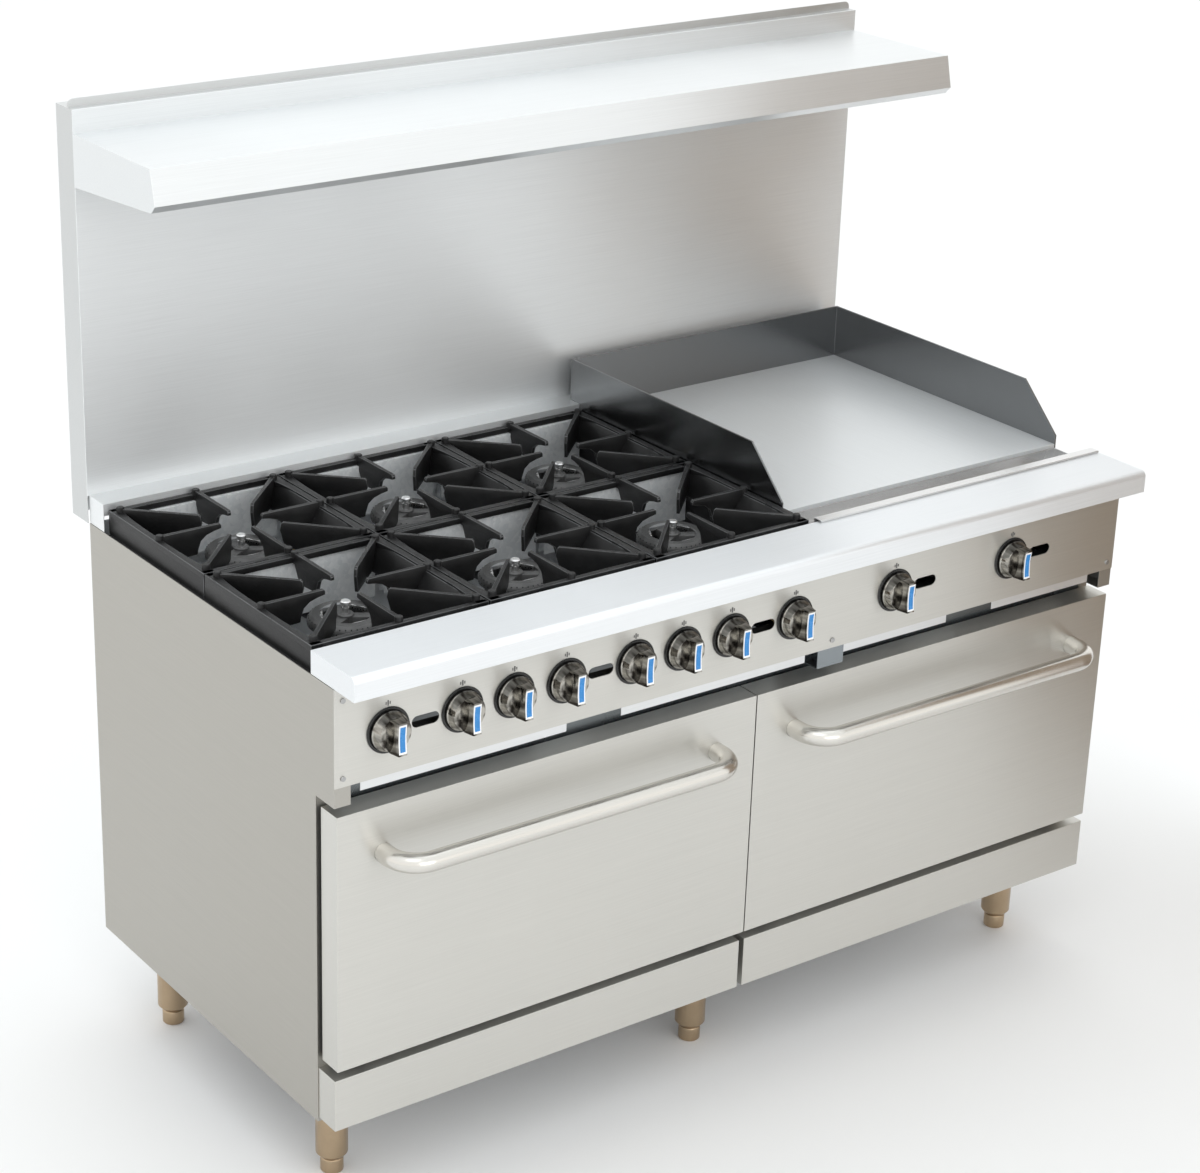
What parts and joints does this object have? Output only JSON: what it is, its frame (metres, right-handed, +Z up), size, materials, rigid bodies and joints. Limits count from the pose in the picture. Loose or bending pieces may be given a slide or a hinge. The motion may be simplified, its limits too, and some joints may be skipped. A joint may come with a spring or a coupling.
{
  "type": "commercial gas range",
  "caption": "Free-standing commercial gas range with open cast grates, a griddle, drop-down oven doors, pull-out crumb trays and a high backguard with shelf.",
  "frame": {"origin": "on the floor, under the middle of the overall box", "axes": "+X to the right of someone facing the range, -Y towards that person, +Z up"},
  "size_m": [1.532, 0.862, 1.544],
  "materials": {
    "cast_iron_grate": "as-cast, dry matt",
    "knob_chrome": "polished",
    "bezel_black": "moulded satin",
    "insert_blue": "moulded gloss",
    "stainless_door": "fine horizontal brushing",
    "handle_stainless": "satin polished tube",
    "oven_enamel": "speckled vitreous enamel",
    "rack_wire": "plated wire",
    "tray_steel": "bright sheet",
    "stainless_casing": "fine brushing",
    "galvanised_sheet": "spangled galvanised look",
    "stainless_backguard": "fine brushing",
    "leg_nickel": "plated tube",
    "screw_steel": "plain",
    "pipe_steel": "black pipe",
    "valve_brass": "machined",
    "cast_iron_burner": "as-cast",
    "burner_head_iron": "as-cast, machined ports",
    "frame_black": "heat resistant paint",
    "griddle_steel": "ground flat",
    "splash_steel": "hot rolled, ground",
    "gutter_steel": "bright sheet"
  },
  "bodies": {
    "range_body": {"backguard_panel": "stainless_backguard", "backguard_riser": "stainless_backguard", "base_frame": "galvanised_sheet", "bullnose_ledge": "stainless_casing", "burner_heads": "burner_head_iron", "control_panel": "stainless_casing", "cooktop_frame": "frame_black", "door_hinge_brackets": "pipe_steel", "feet": "leg_nickel", "gas_manifold": "pipe_steel", "gas_valves": "valve_brass", "grease_gutter": "gutter_steel", "griddle_burners": "cast_iron_burner", "griddle_plate": "griddle_steel", "griddle_splash": "splash_steel", "heat_shields": "galvanised_sheet", "kick_panels": "stainless_casing", "knob_bezels": "bezel_black", "legs": "leg_nickel", "open_burners": "cast_iron_burner", "oven_burners": "cast_iron_burner", "oven_face_frame": "stainless_casing", "oven_floors": "oven_enamel", "oven_liner_left": "oven_enamel", "oven_liner_right": "oven_enamel", "oven_thermostats": "valve_brass", "panel_screws": "screw_steel", "pilot_burners": "valve_brass", "rack_guides": "rack_wire", "rear_deck": "stainless_backguard", "rear_panel": "galvanised_sheet", "shelf": "stainless_backguard", "side_panel_left": "stainless_casing", "side_panel_right": "stainless_casing"},
    "knob_01_burner": {"knob_01_burner": "knob_chrome"},
    "knob_02_burner": {"knob_02_burner": "knob_chrome"},
    "knob_03_oven": {"knob_03_oven": "knob_chrome"},
    "knob_04_burner": {"knob_04_burner": "knob_chrome"},
    "knob_05_burner": {"knob_05_burner": "knob_chrome"},
    "knob_06_oven": {"knob_06_oven": "knob_chrome"},
    "knob_07_burner": {"knob_07_burner": "knob_chrome"},
    "knob_08_burner": {"knob_08_burner": "knob_chrome"},
    "knob_09_griddle": {"knob_09_griddle": "knob_chrome"},
    "knob_10_griddle": {"knob_10_griddle": "knob_chrome"},
    "grate_front_1": {"grate_front_1": "cast_iron_grate"},
    "grate_front_2": {"grate_front_2": "cast_iron_grate"},
    "grate_front_3": {"grate_front_3": "cast_iron_grate"},
    "grate_rear_1": {"grate_rear_1": "cast_iron_grate"},
    "grate_rear_2": {"grate_rear_2": "cast_iron_grate"},
    "grate_rear_3": {"grate_rear_3": "cast_iron_grate"},
    "crumb_tray_left": {"crumb_tray_left": "tray_steel"},
    "oven_door_left": {"door_shell_left": "stainless_door", "door_liner_left": "oven_enamel", "door_handle_left": "handle_stainless"},
    "oven_rack_left": {"oven_rack_left": "rack_wire"},
    "crumb_tray_right": {"crumb_tray_right": "tray_steel"},
    "oven_door_right": {"door_shell_right": "stainless_door", "door_liner_right": "oven_enamel", "door_handle_right": "handle_stainless"},
    "oven_rack_right": {"oven_rack_right": "rack_wire"}
  },
  "joints": [
    {"name": "knob_01_burner_turn", "type": "hinge", "parent": "range_body", "child": "knob_01_burner", "pos_m": [-0.6745, -0.3575, 0.791], "axis": [0, -1, 0], "range_deg": [0, 90]},
    {"name": "knob_02_burner_turn", "type": "hinge", "parent": "range_body", "child": "knob_02_burner", "pos_m": [-0.5495, -0.3575, 0.791], "axis": [0, -1, 0], "range_deg": [0, 90]},
    {"name": "knob_03_oven_turn", "type": "hinge", "parent": "range_body", "child": "knob_03_oven", "pos_m": [-0.46, -0.3575, 0.791], "axis": [0, -1, 0], "range_deg": [0, 270]},
    {"name": "knob_04_burner_turn", "type": "hinge", "parent": "range_body", "child": "knob_04_burner", "pos_m": [-0.3675, -0.3575, 0.791], "axis": [0, -1, 0], "range_deg": [0, 90]},
    {"name": "knob_05_burner_turn", "type": "hinge", "parent": "range_body", "child": "knob_05_burner", "pos_m": [-0.2425, -0.3575, 0.791], "axis": [0, -1, 0], "range_deg": [0, 90]},
    {"name": "knob_06_oven_turn", "type": "hinge", "parent": "range_body", "child": "knob_06_oven", "pos_m": [-0.153, -0.3575, 0.791], "axis": [0, -1, 0], "range_deg": [0, 270]},
    {"name": "knob_07_burner_turn", "type": "hinge", "parent": "range_body", "child": "knob_07_burner", "pos_m": [-0.0605, -0.3575, 0.791], "axis": [0, -1, 0], "range_deg": [0, 90]},
    {"name": "knob_08_burner_turn", "type": "hinge", "parent": "range_body", "child": "knob_08_burner", "pos_m": [0.0645, -0.3575, 0.791], "axis": [0, -1, 0], "range_deg": [0, 90]},
    {"name": "knob_09_griddle_turn", "type": "hinge", "parent": "range_body", "child": "knob_09_griddle", "pos_m": [0.27, -0.3575, 0.791], "axis": [0, -1, 0], "range_deg": [0, 90]},
    {"name": "knob_10_griddle_turn", "type": "hinge", "parent": "range_body", "child": "knob_10_griddle", "pos_m": [0.521, -0.3575, 0.791], "axis": [0, -1, 0], "range_deg": [0, 90]},
    {"name": "grate_front_1_lift", "type": "slide", "parent": "range_body", "child": "grate_front_1", "axis": [0, 0, 1], "range_m": [0, 0.15]},
    {"name": "grate_front_2_lift", "type": "slide", "parent": "range_body", "child": "grate_front_2", "axis": [0, 0, 1], "range_m": [0, 0.15]},
    {"name": "grate_front_3_lift", "type": "slide", "parent": "range_body", "child": "grate_front_3", "axis": [0, 0, 1], "range_m": [0, 0.15]},
    {"name": "grate_rear_1_lift", "type": "slide", "parent": "range_body", "child": "grate_rear_1", "axis": [0, 0, 1], "range_m": [0, 0.15]},
    {"name": "grate_rear_2_lift", "type": "slide", "parent": "range_body", "child": "grate_rear_2", "axis": [0, 0, 1], "range_m": [0, 0.15]},
    {"name": "grate_rear_3_lift", "type": "slide", "parent": "range_body", "child": "grate_rear_3", "axis": [0, 0, 1], "range_m": [0, 0.15]},
    {"name": "crumb_tray_left_pull", "type": "slide", "parent": "range_body", "child": "crumb_tray_left", "axis": [0, -1, 0], "range_m": [0, 0.45]},
    {"name": "oven_door_left_swing", "type": "hinge", "parent": "range_body", "child": "oven_door_left", "pos_m": [0, -0.3345, 0.271], "axis": [1, 0, 0], "range_deg": [0, 90], "stiffness_Nm_per_rad": 6, "springref_deg": -20.05},
    {"name": "oven_rack_left_slide", "type": "slide", "parent": "range_body", "child": "oven_rack_left", "axis": [0, -1, 0], "range_m": [0, 0.32]},
    {"name": "crumb_tray_right_pull", "type": "slide", "parent": "range_body", "child": "crumb_tray_right", "axis": [0, -1, 0], "range_m": [0, 0.45]},
    {"name": "oven_door_right_swing", "type": "hinge", "parent": "range_body", "child": "oven_door_right", "pos_m": [0, -0.3345, 0.271], "axis": [1, 0, 0], "range_deg": [0, 90], "stiffness_Nm_per_rad": 6, "springref_deg": -20.05},
    {"name": "oven_rack_right_slide", "type": "slide", "parent": "range_body", "child": "oven_rack_right", "axis": [0, -1, 0], "range_m": [0, 0.32]}
  ],
  "couplings": [
    {"joint": "oven_rack_left_slide", "follows": "oven_door_left_swing", "m_per_rad": 0.2},
    {"joint": "oven_rack_right_slide", "follows": "oven_door_right_swing", "m_per_rad": 0.2}
  ]
}
